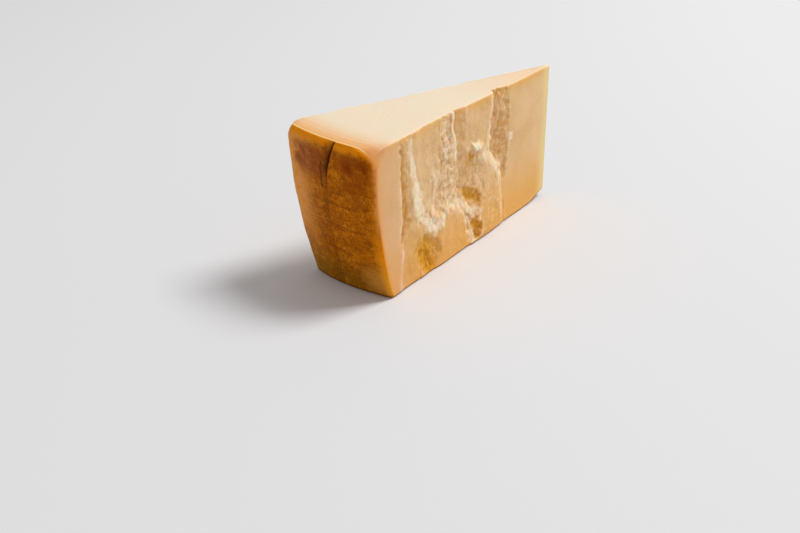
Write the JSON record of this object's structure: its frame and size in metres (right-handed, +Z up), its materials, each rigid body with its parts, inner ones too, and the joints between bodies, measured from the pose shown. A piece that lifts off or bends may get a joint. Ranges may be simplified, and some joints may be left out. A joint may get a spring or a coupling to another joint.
{
  "type": "aged asiago cheese wedge",
  "caption": "Loose wedge of aged hard cheese with an orange-brown rind, a flat cut top and craggy split sides, standing on its flat base.",
  "frame": {"origin": "under the middle of the bounding box, on the flat base", "axes": "+X from the rind to the tip, +Y towards the far cut face so that the split face looks along -Y, +Z up"},
  "size_m": [0.211, 0.0744, 0.0925],
  "materials": {
    "cheese": "waxy cream paste, smooth where knife-cut and crumbly where split, with an orange-brown leathery rind on one end"
  },
  "bodies": {
    "root": {"cheese": "cheese"}
  },
  "joints": []
}
